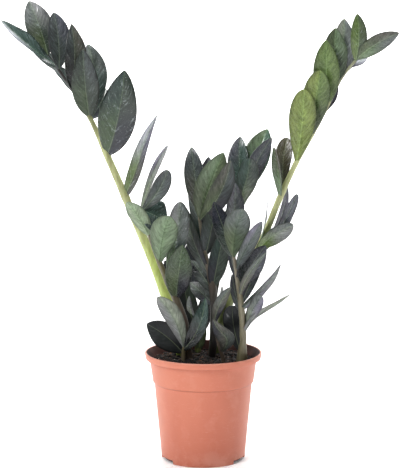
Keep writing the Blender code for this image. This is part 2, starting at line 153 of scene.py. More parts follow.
def with_poles(rings):
    """Values on rings as one list, with the first and the last ring's mean added for the two poles."""
    flat = rings.reshape(-1, rings.shape[-1])
    return np.vstack((flat, rings[0].mean(axis=0), rings[-1].mean(axis=0)))


def lay_skins(name, skins, marks=None, sharp=None):
    """One mesh of several closed skins, each an array of rings by points round by x, y, z in millimetres.

    Marks are values on the same points, one array a skin, kept in the mesh as attributes by their names.
    """
    points, faces, offset = [], [], 0
    for rings in skins:
        quads, fans = skin_faces(*rings.shape[:2])
        points.append(with_poles(rings))
        faces += (quads + offset).tolist() + (fans + offset).tolist()
        offset += len(points[-1])
    mesh = bpy.data.meshes.new(name)
    mesh.from_pydata(np.vstack(points) * MM, [], faces)
    for mark, values in (marks or {}).items():
        flat = np.vstack([with_poles(value) for value in values])
        kind, field = {1: ("FLOAT", "value"), 3: ("FLOAT_VECTOR", "vector")}[flat.shape[-1]]
        attribute = mesh.attributes.new(mark, kind, "POINT")
        attribute.data.foreach_set(field, flat.astype(np.float32).ravel())
    mesh.shade_smooth()
    if sharp:
        mesh.set_sharp_from_angle(angle=math.radians(sharp))
    return placed(name, mesh)


def hand_over(piece, material, node):
    """Gives a piece its material, body and slot, in place of its CAD solid."""
    piece.data.materials.append(material)
    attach(piece, "root")
    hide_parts(node)


def new_material(name):
    """A new material, its nodes, and the Principled shader among them."""
    material = bpy.data.materials.new(name)
    material.use_nodes = True
    return material, material.node_tree, material.node_tree.nodes["Principled BSDF"]


def add_node(tree, kind, inputs=None, **settings):
    """Adds a shader node with its settings; each input gets a value or another node's output."""
    node = tree.nodes.new(kind)
    for key, value in settings.items():
        setattr(node, key, value)
    fill_inputs(tree, node, inputs or {})
    return node


def fill_inputs(tree, node, inputs):
    """Sets or links the inputs of a node by name or number."""
    for key, value in inputs.items():
        if isinstance(value, bpy.types.NodeSocket):
            tree.links.new(value, node.inputs[key])
        else:
            node.inputs[key].default_value = value


def maths(tree, operation, *values):
    """Result of one arithmetic step on values or outputs."""
    return add_node(tree, "ShaderNodeMath", dict(enumerate(values)), operation=operation).outputs[0]


def times(tree, one, other):
    """Product of two values or outputs."""
    return maths(tree, "MULTIPLY", one, other)


def plus(tree, total, *others):
    """Sum of values or outputs."""
    for other in others:
        total = maths(tree, "ADD", total, other)
    return total


def band(tree, value, start, end, low=0.0, high=1.0):
    """Goes evenly from low to high while a value goes from start to end, and stays level outside."""
    inputs = {"Value": value, "From Min": start, "From Max": end, "To Min": low, "To Max": high}
    return add_node(tree, "ShaderNodeMapRange", inputs).outputs[0]


def mixed(tree, share, base, over, blend="MIX"):
    """A colour laid over another by a share."""
    inputs = {0: share, 6: base, 7: over}
    return add_node(tree, "ShaderNodeMix", inputs, data_type="RGBA", blend_type=blend).outputs[2]


def own_place(tree):
    """Places in a piece's own coordinates, in metres."""
    return add_node(tree, "ShaderNodeTexCoord").outputs["Object"]


def marked(tree, mark, output="Vector"):
    """What one of the mesh's marks says at each point."""
    return add_node(tree, "ShaderNodeAttribute", attribute_name=mark).outputs[output]


def noise(tree, place, scale, detail=3.0, roughness=0.5, stretch=None):
    """Noise from 0 to 1 on a place, which may be stretched first."""
    if stretch:
        place = add_node(tree, "ShaderNodeMapping", {"Vector": place, "Scale": stretch}).outputs[0]
    inputs = {"Vector": place, "Scale": scale, "Detail": detail, "Roughness": roughness}
    return add_node(tree, "ShaderNodeTexNoise", inputs).outputs[0]


def bumped(tree, relief, strength, distance):
    """Normals tilted as a relief rises and falls over a distance in metres."""
    inputs = {"Height": relief, "Strength": strength, "Distance": distance}
    return add_node(tree, "ShaderNodeBump", inputs).outputs[0]


def wall_radius(height):
    """A straight taper below the stacking step and another above it, eased into each other."""
    below = FOOT_RADIUS + (STEP_RADIUS - STEP_WIDTH - FOOT_RADIUS) * height / STEP_HEIGHT
    rise = (height - STEP_HEIGHT) / (POT_HEIGHT - LIP_DEPTH - STEP_HEIGHT)
    above = STEP_RADIUS + (UPPER_RADIUS - STEP_RADIUS) * rise
    return below + (above - below) * ease((height - STEP_HEIGHT + 0.5 * STEP_SLOPE) / STEP_SLOPE)


def pot_rings():
    """A profile of radius and height turned round the axis, and raised in the notches and drains."""
    hub = FOOT_RADIUS - NOTCH_DEPTH
    drain_in, drain_out = hub + 0.5 * (NOTCH_DEPTH - DRAIN_SIZE), hub + 0.5 * (NOTCH_DEPTH + DRAIN_SIZE)
    hub_floor = [(12.0, 0.0), (30.0, 0.0), (hub - 0.3, 0.0), (hub, 0.3)]
    drain_edges = [edge + side * CRISP for edge in (drain_in, drain_out) for side in (-1, 1)]
    roof = [hub + 0.6, *drain_edges, FOOT_RADIUS - FOOT_ROUND]
    under, under_notch = (hub_floor + [(radius, height) for radius in roof] for height in (0.0, NOTCH_HEIGHT))
    lip_low = POT_HEIGHT - LIP_DEPTH
    rise = np.concatenate((
        (0.0, 0.3, 1.0, 3.0, 6.0, 10.0), np.linspace(LIFT_TOP, STEP_HEIGHT - 2.0, 14),
        STEP_HEIGHT + np.linspace(-1.2, 1.2, 7), np.linspace(STEP_HEIGHT + 4.0, lip_low - 1.0, 6),
    ))
    foot_round = FOOT_ROUND * (1.0 - np.clip(rise, 0.0, 1.0)) ** 2
    lift = NOTCH_HEIGHT * np.clip((LIFT_TOP - rise) / LIFT_TOP, 0.0, 1.0)
    wall = np.column_stack((wall_radius(rise) - foot_round, rise))
    wall_notch = np.column_stack((wall_radius(rise + lift) - foot_round, rise + lift))
    lip = np.vstack((
        arc((UPPER_RADIUS + 1.0, lip_low - 1.0), 1.0, 180, 90, 4),
        arc((RIM_RADIUS - 2.4, lip_low + 1.2), 1.2, -90, -8, 5),
        arc((RIM_RADIUS - LIP_ROUND, POT_HEIGHT - LIP_ROUND), LIP_ROUND, 0, 90, 6),
        arc((MOUTH_RADIUS + LIP_ROUND, POT_HEIGHT - LIP_ROUND), LIP_ROUND, 95, 180, 5),
    ))
    down = np.array((lip_low - 2.0, 132.0, STEP_HEIGHT + 2.4, STEP_HEIGHT - 1.0, 70.0, 30.0, FLOOR + 1.5))
    inside = np.column_stack((wall_radius(down) - WALL, down))
    base = [(FOOT_RADIUS - WALL - 1.2, FLOOR), (30.0, FLOOR), (8.0, FLOOR)]
    plain = np.vstack((under, wall, lip, inside, base))
    notched = np.vstack((under_notch, wall_notch, lip, inside, base))
    edges = [angle + side * NOTCH_SPAN / 2 for angle in NOTCH_ANGLES for side in (-1, 1)]
    drain_half = math.degrees(0.5 * DRAIN_SIZE / (FOOT_RADIUS - 0.5 * NOTCH_DEPTH))
    drains = [angle + side * DRAIN_SHARE * NOTCH_SPAN for angle in NOTCH_ANGLES for side in (-1, 1)]
    edges += [angle + side * drain_half for angle in drains for side in (-1, 1)]
    pairs = [edge + side * EDGE_TURN for edge in edges for side in (-1, 1)]
    angles = np.unique(np.concatenate((np.arange(POT_COLUMNS) * 360.0 / POT_COLUMNS, np.mod(pairs, 360.0))))

    def inside_any(middles, half):
        """Where an angle lies within a half span of one of some middles."""
        away = np.abs((angles[:, None] - np.array(middles) + 180.0) % 360.0 - 180.0)
        return (away.min(axis=1) < half).astype(float)

    opened = inside_any(NOTCH_ANGLES, NOTCH_SPAN / 2)[None, :, None]
    profile = plain[:, None, :] + (notched - plain)[:, None, :] * opened
    over_drain = inside_any(drains, drain_half)
    first = len(under) - 4
    profile[first:first + 2, :, 1] += DRAIN_DEPTH * over_drain
    turn = np.radians(angles - 90.0)[None, :]
    radius, height = profile[..., 0], profile[..., 1]
    rings = np.stack((radius * np.cos(turn), radius * np.sin(turn), height), axis=-1)
    stain_and_shade_mark = np.zeros((*rings.shape[:2], 1))
    # The inside up over the lip's inner round is marked for soil stain and painted shade, and the roofs of
    # the drain recesses for painted shade.
    stain_and_shade_mark[len(under) + len(wall) + len(lip) - 3:] = 1.0
    stain_and_shade_mark[first:first + 2, :, 0] = over_drain
    return rings, stain_and_shade_mark


def stripe(tree, height, edges):
    """1 between the two inner ones of four heights, going evenly to 0 at the outer ones."""
    low, low_full, high_full, high = edges
    return times(tree, band(tree, height, low, low_full), band(tree, height, high, high_full))


def pot_material():
    """Satin polypropylene: faint flow marks, fine scuffs along the wall, paler edges, soil stains inside.

    Painted shade darkens it under the stacking step, under the lip, towards the foot, inside and in the drain
    recesses.
    """
    material, tree, shader = new_material("terracotta_plastic")
    place = own_place(tree)
    height = times(tree, add_node(tree, "ShaderNodeSeparateXYZ", {0: place}).outputs["Z"], 1.0 / MM)
    flow = noise(tree, place, 9.0, 4.0, 0.55, (1.0, 1.0, 0.5))
    cloud = noise(tree, place, 46.0, 5.0, 0.6)
    scuff = band(tree, noise(tree, place, 130.0, 2.0, 0.5, (1.0, 1.0, 6.0)), 0.63, 0.72)
    rim_wear = times(tree, band(tree, height, *RIM_EDGE), RIM_SHARE)
    foot_dust = times(tree, band(tree, height, *FOOT_DUST), band(tree, cloud, 0.42, 0.6))
    # Painted shade under the stacking step and in the groove under the lip.
    crease_shade = maths(tree, "MAXIMUM", stripe(tree, height, STEP_CREASE_SHADE), stripe(tree, height, LIP_CREASE_SHADE))
    colour = mixed(tree, band(tree, flow, 0.35, 0.7), linear(TERRACOTTA), linear(TERRACOTTA_DEEP))
    for share, tone in (
        (band(tree, cloud, 0.5, 0.78, 0.0, 0.32), TERRACOTTA_PALE),
        # painted shade: darker towards the foot
        (band(tree, height, *FOOT_SHADE, 0.0, 0.5), TERRACOTTA_DEEP),
        (times(tree, scuff, SCUFF_SHARE), TERRACOTTA_PALE),
        (maths(tree, "MAXIMUM", rim_wear, times(tree, foot_dust, DUST_SHARE)), TERRACOTTA_PALE),
        (times(tree, crease_shade, CREASE_SHADE_SHARE), TERRACOTTA_CREASE_SHADE),
        # Soil stain with painted shade inside, and painted shade in the drain recesses.
        (times(tree, marked(tree, "stain_and_shade", "Fac"), band(tree, cloud, 0.3, 0.55, 0.86, 0.99)), SOIL_STAIN_AND_SHADE),
    ):
        colour = mixed(tree, share, colour, linear(tone))
    rough = plus(tree, band(tree, cloud, 0.3, 0.8, 0.4, 0.52), times(tree, scuff, 0.12))
    grain = noise(tree, place, 900.0, 2.0, 0.5)
    rings = maths(tree, "SINE", times(tree, height, 0.9))
    relief = plus(tree, times(tree, grain, 0.5), times(tree, rings, 0.06), times(tree, flow, 3.0))
    fill_inputs(tree, shader, {
        "Base Color": colour, "Roughness": rough, "Normal": bumped(tree, relief, 0.22, 0.0006),
        "Specular IOR Level": 0.32,
    })
    return material


pot_skin, pot_stain_and_shade = pot_rings()
pot = lay_skins("nursery_pot", [pot_skin], {"stain_and_shade": [pot_stain_and_shade]}, sharp=32)
hand_over(pot, pot_material(), "pot")

# Soil
# Moist peat potting soil, filled to just below the lip and settled into a low mound round the stems. Crumbs
# of peat, shreds of bark and root fibres lie loose on it, with a few pale grains of perlite and fertiliser.
SOIL_EDGE = 144.5
SOIL_MOUND = 2.5
SOIL_LUMP = 0.7
SOIL_RADIUS = 75.3
SOIL_WALL = ((20.0, 2.8), (55.0, 2.8), (57.0, 9.5), (68.0, 112.0), (70.2, 117.5), (SOIL_RADIUS, 143.0))
SOIL_COLUMNS = 160
SOIL_ROWS = 60
CRUMB_COUNT = 1900
FIBRE_COUNT = 210
SOIL_CLOD = 0.45
GRAIN_STEP = 61
CRUMB_LARGEST = 3.2
GRAIN_LARGEST = 0.9
FIBRE_LENGTH = (3.0, 10.0)
FIBRE_WIDTH = (0.2, 0.7)
CRUMB_TONES = ((20, 17, 16), (27, 21, 19), (14, 13, 13), (38, 28, 23), (62, 43, 34))
GRAIN_TONES = ((205, 190, 170), (150, 118, 88), (222, 214, 204))
FIBRE_TONES = ((104, 70, 50), (70, 46, 36), (140, 100, 70), (42, 30, 26))
PEAT_DARK = (20, 16, 15)
PEAT_BROWN = (48, 34, 28)
PEAT_DAMP = (15, 13, 13)
BIT_SHADOW = (14, 12, 12)


def soil_height(x, y):
    """Top of the soil: a low mound with slow lumps, and above them clods from three crossed waves."""
    reach = np.minimum(1.0, np.hypot(x, y) / (UPPER_RADIUS - WALL))
    lumps = np.sin(0.21 * x + 1.3) * np.cos(0.17 * y - 0.4) + 0.6 * np.sin(0.33 * x - 0.29 * y)
    clods = np.sin(0.9 * x + 0.7 * np.sin(0.5 * y)) * np.sin(0.8 * y + 0.9 * np.sin(0.4 * x))
    clods = clods + 0.6 * np.sin(1.7 * x - 1.1 * y) * np.sin(1.3 * y + 0.6 * x)
    height = SOIL_EDGE + SOIL_MOUND * (1.0 - reach ** 2) + SOIL_LUMP * lumps * (1.0 - reach ** 4)
    return height + SOIL_CLOD * clods


def turns(count):
    """Angles evenly round a circle."""
    return np.linspace(0.0, math.tau, count, endpoint=False)


def soil_rings():
    """Rings out over the pot's floor, up its wall, and in over the soil's top to the middle."""
    turn = turns(SOIL_COLUMNS)[None, :]
    wall = np.array(SOIL_WALL)
    top = np.linspace(SOIL_RADIUS, 2.0, SOIL_ROWS)
    radius = np.concatenate((wall[:, 0], top))[:, None]
    x, y = radius * np.cos(turn), radius * np.sin(turn)
    height = np.broadcast_to(np.concatenate((wall[:, 1], top))[:, None], x.shape).copy()
    height[len(wall):] = soil_height(x[len(wall):], y[len(wall):])
    return np.stack((x, y, height), axis=-1)


def crumb_rings(middle, size, draw):
    """One crumb: three hexagonal rings of an uneven ball, each point's reach drawn a little in or out."""
    level = np.array((-0.6, 0.0, 0.6))[:, None]
    turn = turns(6)[None, :] + draw.uniform(0.0, 1.0)
    reach = np.sqrt(1.0 - level ** 2) * draw.uniform(0.7, 1.2, (3, 6))
    shape = np.stack((reach * np.cos(turn), reach * np.sin(turn), level + 0.0 * turn), axis=-1)
    return middle + shape * size * draw.uniform(0.6, 1.2, 3)


def fibre_rings(middle, length, width, draw):
    """One shred: a thin flat tube along a line that bends once and lies down, with five points round it."""
    share = np.linspace(-0.5, 0.5, 6)[:, None]
    heading = draw.uniform(0.0, math.tau)
    bend = draw.uniform(-0.35, 0.35)
    ahead = np.array((math.cos(heading), math.sin(heading), 0.0))
    aside = np.array((-math.sin(heading), math.cos(heading), 0.0))
    upward = np.array((0.0, 0.0, 1.0))
    rise = draw.uniform(-0.12, 0.22)
    line = middle + length * (share * ahead + bend * share ** 2 * aside) + length * rise * share * upward
    turn = turns(5)[None, :, None]
    girth = width * (1.0 - 1.6 * np.abs(share) ** 2)[:, :, None]
    return line[:, None, :] + girth * (np.cos(turn) * aside + 0.45 * np.sin(turn) * upward)


def spot_on_soil(draw, clear):
    """A place drawn evenly over the soil's top, at least a clear distance from its edge."""
    radius, turn = (SOIL_RADIUS - clear) * math.sqrt(draw.uniform()), draw.uniform(0.0, math.tau)
    x, y = radius * math.cos(turn), radius * math.sin(turn)
    return np.array((x, y, soil_height(x, y)))


def scatter_soil_bits():
    """Crumbs and fibres sown over the soil with one fixed draw, and each one's colour."""
    draw = np.random.default_rng(11)
    skins, picks = [], []
    for index in range(CRUMB_COUNT):
        spot = spot_on_soil(draw, 1.5)
        grain = index % GRAIN_STEP == 0
        palette = GRAIN_TONES if grain else CRUMB_TONES
        size = min(GRAIN_LARGEST if grain else CRUMB_LARGEST, draw.gamma(3.0, 0.42) + 0.35)
        skins.append(crumb_rings(spot + (0.0, 0.0, 0.25 * size), size, draw))
        picks.append(palette[draw.integers(len(palette))])
    for index in range(FIBRE_COUNT):
        middle = spot_on_soil(draw, 6.0) + (0.0, 0.0, 0.7)
        skins.append(fibre_rings(middle, draw.uniform(*FIBRE_LENGTH), draw.uniform(*FIBRE_WIDTH), draw))
        picks.append(FIBRE_TONES[index % len(FIBRE_TONES)])
    return skins, [np.broadcast_to(linear(pick, False), skin.shape) for pick, skin in zip(picks, skins)]


def soil_material(name, loose):
    """Dark crumbly peat: colour clouds and damp patches on a coarse relief. Loose bits bring a colour."""
    material, tree, shader = new_material(name)
    place = own_place(tree)
    clods = noise(tree, place, 320.0, 6.0, 0.65)
    damp = noise(tree, place, 40.0, 3.0)
    if loose:
        base = marked(tree, "bit_tone", "Color")
        colour = mixed(tree, band(tree, clods, 0.35, 0.7, 0.0, 0.6), base, linear(BIT_SHADOW))
    else:
        colour = mixed(tree, band(tree, clods, 0.35, 0.66), linear(PEAT_DARK), linear(PEAT_BROWN))
        colour = mixed(tree, band(tree, damp, 0.45, 0.65, 0.0, 0.7), colour, linear(PEAT_DAMP))
    fill_inputs(tree, shader, {
        "Base Color": colour, "Roughness": band(tree, damp, 0.4, 0.7, 0.95, 0.7),
        "Normal": bumped(tree, clods, 0.9, 0.0012), "Specular IOR Level": 0.3,
    })
    return material


soil = lay_skins("potting_soil", [soil_rings()])
hand_over(soil, soil_material("peat_soil", loose=False), "soil")
bit_skins, bit_tones = scatter_soil_bits()
soil_bits = lay_skins("soil_crumbs_and_fibres", bit_skins, {"bit_tone": bit_tones})
hand_over(soil_bits, soil_material("loose_soil", loose=True), "soil")

# Tall left stem
# The oldest stem leans far to the left. Its stalk is fleshy, swollen and bright green at the soil, greyer
# higher up and painted near-black at the tip as painted shade, and carries two rows of thick waxy
# leaflets, dark above and dull grey-green beneath, on short stout feet.
FRONT = np.array((0.0, -1.0, 0.2)) / math.hypot(1.0, 0.2)
STALK_WIDTH = 1.7
TIP_HALF = 0.6
FULLNESS = 1.7
BLADE_ROWS = 64
BLADE_HALF_COLUMNS = 14
ROWS_CROWDED = 0.35
ROWS_EVEN = 0.3
MARGIN_HALF = 0.2
BODY_HALF = 0.28
MARGIN_WAVE = 0.02
FOOT_HALF = 1.5
RIB_HALF = 0.45
RIB_GROOVE = 0.28
VEIN_LEAN = 0.26
VEIN_CURVE = 1.35
SIDE_VEINS = 13.0
STREAKS = 24.0
PUCKER_COUNT = 9.0
PUCKER_HEIGHT = 0.22
TONE_BLEND = 3.2
BLADE_MARKS = ("blade_share", "blade_span", "upper_face", "tone", "wax")
RIB_PALE = (134, 146, 110)
# Pale tone of the painted highlight line along the leaflets' margins.
MARGIN_PAINTED_HIGHLIGHT = (112, 110, 104)
# Pale colour of the painted glints on waxy upper faces.
PAINTED_GLINT = (176, 186, 188)
GREEN_LIGHT = (228, 255, 214)
STREAK_TONE = (186, 182, 170)
FLECK_TONE = (120, 104, 96)
STALK_SIDES = 26
STALK_ROWS = 14
STEM_SINK = 34.0
SINK_INWARD = 0.72
ROUND_SHARE = 0.97
NODE_SWELL = 0.07
SCAR_SWELL = 0.05
SCAR_BELOW = 3.0
SWELL_LIMIT = 0.12
# Leaflet tones. The palest, near white, is a painted reflection of the lights on a waxy face.
LEAF_TONES = {
    "ink": (18, 21, 24), "coal": (28, 32, 32), "navy": (36, 38, 46), "plum": (48, 48, 54),
    "pine": (46, 60, 56), "shade": (54, 62, 56), "fern": (56, 72, 48), "moss": (66, 78, 60),
    "teal": (66, 82, 78), "jade": (78, 104, 88), "slate": (68, 73, 74), "olive": (80, 90, 68),
    "taupe": (84, 84, 78), "dove": (88, 94, 92), "leaf": (94, 112, 66), "sage": (106, 122, 98),
    "fog": (106, 111, 110), "ash": (126, 128, 128), "lime": (112, 125, 68), "mist": (132, 138, 126),
    "pearl": (140, 154, 130), "bronze": (78, 74, 60), "lilac": (112, 110, 124), "steel": (86, 88, 96),
    "silver": (166, 169, 176),
}
# Stalk tones; the near-black one is painted shade.
STALK_TONES = {
    "spring": (184, 200, 112), "celery": (184, 188, 136), "reed": (134, 136, 112), "khaki": (116, 111, 90),
    "clay": (118, 110, 96), "umber": (80, 68, 58), "moss": (88, 98, 52), "olive": (106, 100, 72),
    "painted_shade_black": (40, 37, 36),
}

# Each leaflet gives the height of its foot on the stem, its tip as x, height and depth, its width, the turn
# of its upper face from the front towards the right, one to four tones, how far its middle bows out, the
# rise of its halves, its swing to its right, its widest place, how far its lower half curls to the right
# and its upper half to the left, and its wax. The tones are those left and right of its rib as seen from
# the front, and then the same two nearer the tip. Besides the leaflet's own colours they hold painted light
# and shade: a lit half beside a shaded one, and pale tones as painted sheen.
FIELDS = "foot tip width turn tones bow fold sweep widest curl wax"
Leaflet = namedtuple("Leaflet", FIELDS, defaults=(0.18, 0.0, 0.52, 0.0, 0.3))


def on_sight_line(x, height, depth):
    """Points at a depth behind the pot's axis, on the sight lines that meet its plane at x and height."""
    reach = 1.0 - depth / EYE[1]
    return np.stack((EYE[0] + (x - EYE[0]) * reach, depth, EYE[2] + (height - EYE[2]) * reach), axis=-1)


def smooth_line(knots):
    """A curve through its knots, each slope half the step from the knot before to the one after."""
    ends = np.vstack((2 * knots[0] - knots[1], knots, 2 * knots[-1] - knots[-2]))
    a, b, c, d = (ends[start:len(knots) - 1 + start, None, :] for start in range(4))
    t = (np.arange(STALK_ROWS) / STALK_ROWS)[None, :, None]
    cubic = 3 * b - a - 3 * c + d
    curve = 0.5 * (2 * b + (c - a) * t + (2 * a - 5 * b + 4 * c - d) * t ** 2 + cubic * t ** 3)
    return np.vstack((curve.reshape(-1, knots.shape[1]), knots[-1]))


def unit(vectors):
    """Vectors at length one."""
    return vectors / np.linalg.norm(vectors, axis=-1, keepdims=True)


def stem_line(path):
    """A stem's middle line and radius, with a straight sunk end that goes down into the soil."""
    x, height, depth, radius = np.array(path, float).T
    line = smooth_line(np.column_stack((on_sight_line(x, height, depth), radius)))
    foot = line[0] * (SINK_INWARD, SINK_INWARD, 1.0, 1.0) - (0.0, 0.0, STEM_SINK, 0.0)
    return np.vstack((foot, line))


def stalk_rings(line, feet):
    """Rings square to a stalk's line, a little swollen at each leaflet's foot and its scar."""
    middle, radius = line[:, :3], line[:, 3] * ROUND_SHARE
    ahead = unit(np.gradient(middle, axis=0))
    across = unit(np.cross(ahead, (0.0, 1.0, 0.0)))
    beside = np.cross(ahead, across)
    away = middle[:, None, 2] - feet[None, :, 2]
    swell = NODE_SWELL * np.exp(-(away / (1.3 * radius[:, None])) ** 2)
    swell += SCAR_SWELL * np.exp(-((away + SCAR_BELOW) / 0.8) ** 2)
    girth = radius * (1.0 + swell.sum(axis=1).clip(0.0, SWELL_LIMIT))
    turn = turns(STALK_SIDES)[None, :, None]
    ribs = 1.0 + 0.012 * np.cos(5.0 * turn)
    offset = across[:, None, :] * np.cos(turn) + beside[:, None, :] * np.sin(turn)
    return middle[:, None, :] + offset * girth[:, None, None] * ribs


def feet_on(line, heights):
    """Points of a stem's middle line that are seen at given heights."""
    seen = EYE[2] + (line[:, 2] - EYE[2]) / (1.0 - line[:, 1] / EYE[1])
    return np.column_stack([np.interp(heights, seen, line[:, axis]) for axis in range(3)])


def half_width(t, width, widest):
    """Half of a blade's width at t of its length: a narrow stalk, then an ellipse with a drawn-out tip."""
    rise, fall = widest * FULLNESS, (1.0 - widest) * FULLNESS
    peak = widest ** rise * (1.0 - widest) ** fall
    swell = t ** rise * (1.0 - t) ** fall / peak
    return 0.5 * width * swell + STALK_WIDTH * (1.0 - t) ** 3 + TIP_HALF * t ** 3


def leaflet_skin(foot, leaflet, draw):
    """One leaflet's skin and BLADE_MARKS. Its rings run across the upper face and back across the underside.

    The middle line arches from foot to tip, and each half rises from it in a V that rounds over to a
    slightly waved margin. Between the side veins the blade puckers in two crossed waves that lean forwards
    towards the margin. It is thin at the margin, fuller in the middle and round at the foot. The rib is a
    groove above and a ridge beneath.
    """
    tip = on_sight_line(*(np.array(value, float) for value in leaflet.tip))
    crowded, even = 1.0 - np.cos(np.linspace(0.0, math.pi, BLADE_ROWS)), np.linspace(0.0, 1.0, BLADE_ROWS)
    t = (crowded * ROWS_CROWDED + even * ROWS_EVEN).clip(0.0, 1.0)[:, None]
    along = unit(tip - foot)
    facing = unit(FRONT - along * FRONT.dot(along))
    right = np.cross(along, facing)
    turn = math.radians(leaflet.turn)
    up = facing * math.cos(turn) + right * math.sin(turn)
    beside = np.cross(along, up)
    bend, swing = up * leaflet.bow + beside * leaflet.sweep, beside * leaflet.curl
    middle = foot + (tip - foot) * t + bend * 4.0 * t * (1.0 - t) + swing * np.sin(math.tau * t)
    ahead = unit(tip - foot + bend * (4.0 - 8.0 * t) + swing * math.tau * np.cos(math.tau * t))
    normal = unit(up - ahead * (ahead @ up)[:, None])
    side = np.cross(ahead, normal)
    half = half_width(t, leaflet.width, leaflet.widest)
    step = np.linspace(-1.0, 1.0, 2 * BLADE_HALF_COLUMNS + 1)
    spread = step * (0.5 + 0.5 * step ** 2)
    across = np.concatenate((spread, spread[::-1]))[None, :]
    face = np.repeat((1.0, -1.0), len(spread))[None, :]
    reach = np.abs(across)
    wave_count, phase = draw.uniform(1.6, 2.6), draw.uniform(0.0, math.tau, 2)
    wave = np.sin(math.tau * wave_count * t + np.where(across < 0.0, phase[0], phase[1]))
    body = np.sin(math.pi * t) ** 0.5
    rise = leaflet.fold * half * body * (1.12 * reach ** 1.25 - 0.12 * reach ** 5)
    rise = rise + MARGIN_WAVE * leaflet.width * body * wave * reach ** 2
    run = math.tau * PUCKER_COUNT * (t - VEIN_LEAN * reach ** VEIN_CURVE)
    pucker = np.sin(run + phase[0] + np.sign(across)) + 0.7 * np.sin(0.43 * run + phase[1] + 2.0 * across)
    rise = rise + PUCKER_HEIGHT * body * pucker * 2.6 * reach * (1.0 - reach ** 2)
    thick = MARGIN_HALF + BODY_HALF * (1.0 - reach ** 2) * (1.0 - 0.4 * t)
    thick = thick + FOOT_HALF * (1.0 - t) ** 8 * np.sqrt(1.0 - 0.96 * reach ** 2)
    rib_place = np.exp(-(reach * half / (0.7 + 0.7 * (1.0 - t))) ** 2)
    groove, ridge = -RIB_GROOVE * rib_place * (1.0 - (1.0 - t) ** 6), RIB_HALF * rib_place * (1.05 - t)
    lift = rise + face * (thick + np.where(face > 0.0, groove, ridge))
    sideways = side[:, None, :] * (half * across)[..., None]
    shape = middle[:, None, :] + sideways + normal[:, None, :] * lift[..., None]
    full = np.ones_like(lift)
    length = np.linalg.norm(tip - foot)
    seed = draw.uniform(0.0, 10.0)
    share = np.stack((full * t, full * across, full * seed), axis=-1)
    span = np.stack((full * t * length, full * across * half, full * half), axis=-1)
    front = 1.0 if math.cos(turn) > -0.05 else -1.0
    words = leaflet.tones.split()
    words = (words + words[-1:] if len(words) == 3 else words * 4)[:4]
    left, right, tip_left, tip_right = (linear(LEAF_TONES[word], False) for word in words)
    # The halves' tones carry painted light and shade along with the leaflet's colour.
    halves = ease(0.5 + 0.5 * front * across * half / TONE_BLEND)[..., None]
    seen, near_tip = left + (right - left) * halves, tip_left + (tip_right - tip_left) * halves
    seen = seen + (near_tip - seen) * ease((t - 0.3) / 0.45)[..., None]
    away = linear(LEAF_TONES["sage" if front > 0.0 else "pine"], False)
    colour = np.where((face * front > 0.0)[..., None], seen, 0.45 * seen + 0.55 * away)
    return shape, share, span, (full * face)[..., None], colour, (full * leaflet.wax)[..., None]


def tinted(tree, colour, factor):
    """A colour made lighter or darker by a factor."""
    return add_node(tree, "ShaderNodeVectorMath", {0: colour, "Scale": factor}, operation="SCALE").outputs[0]


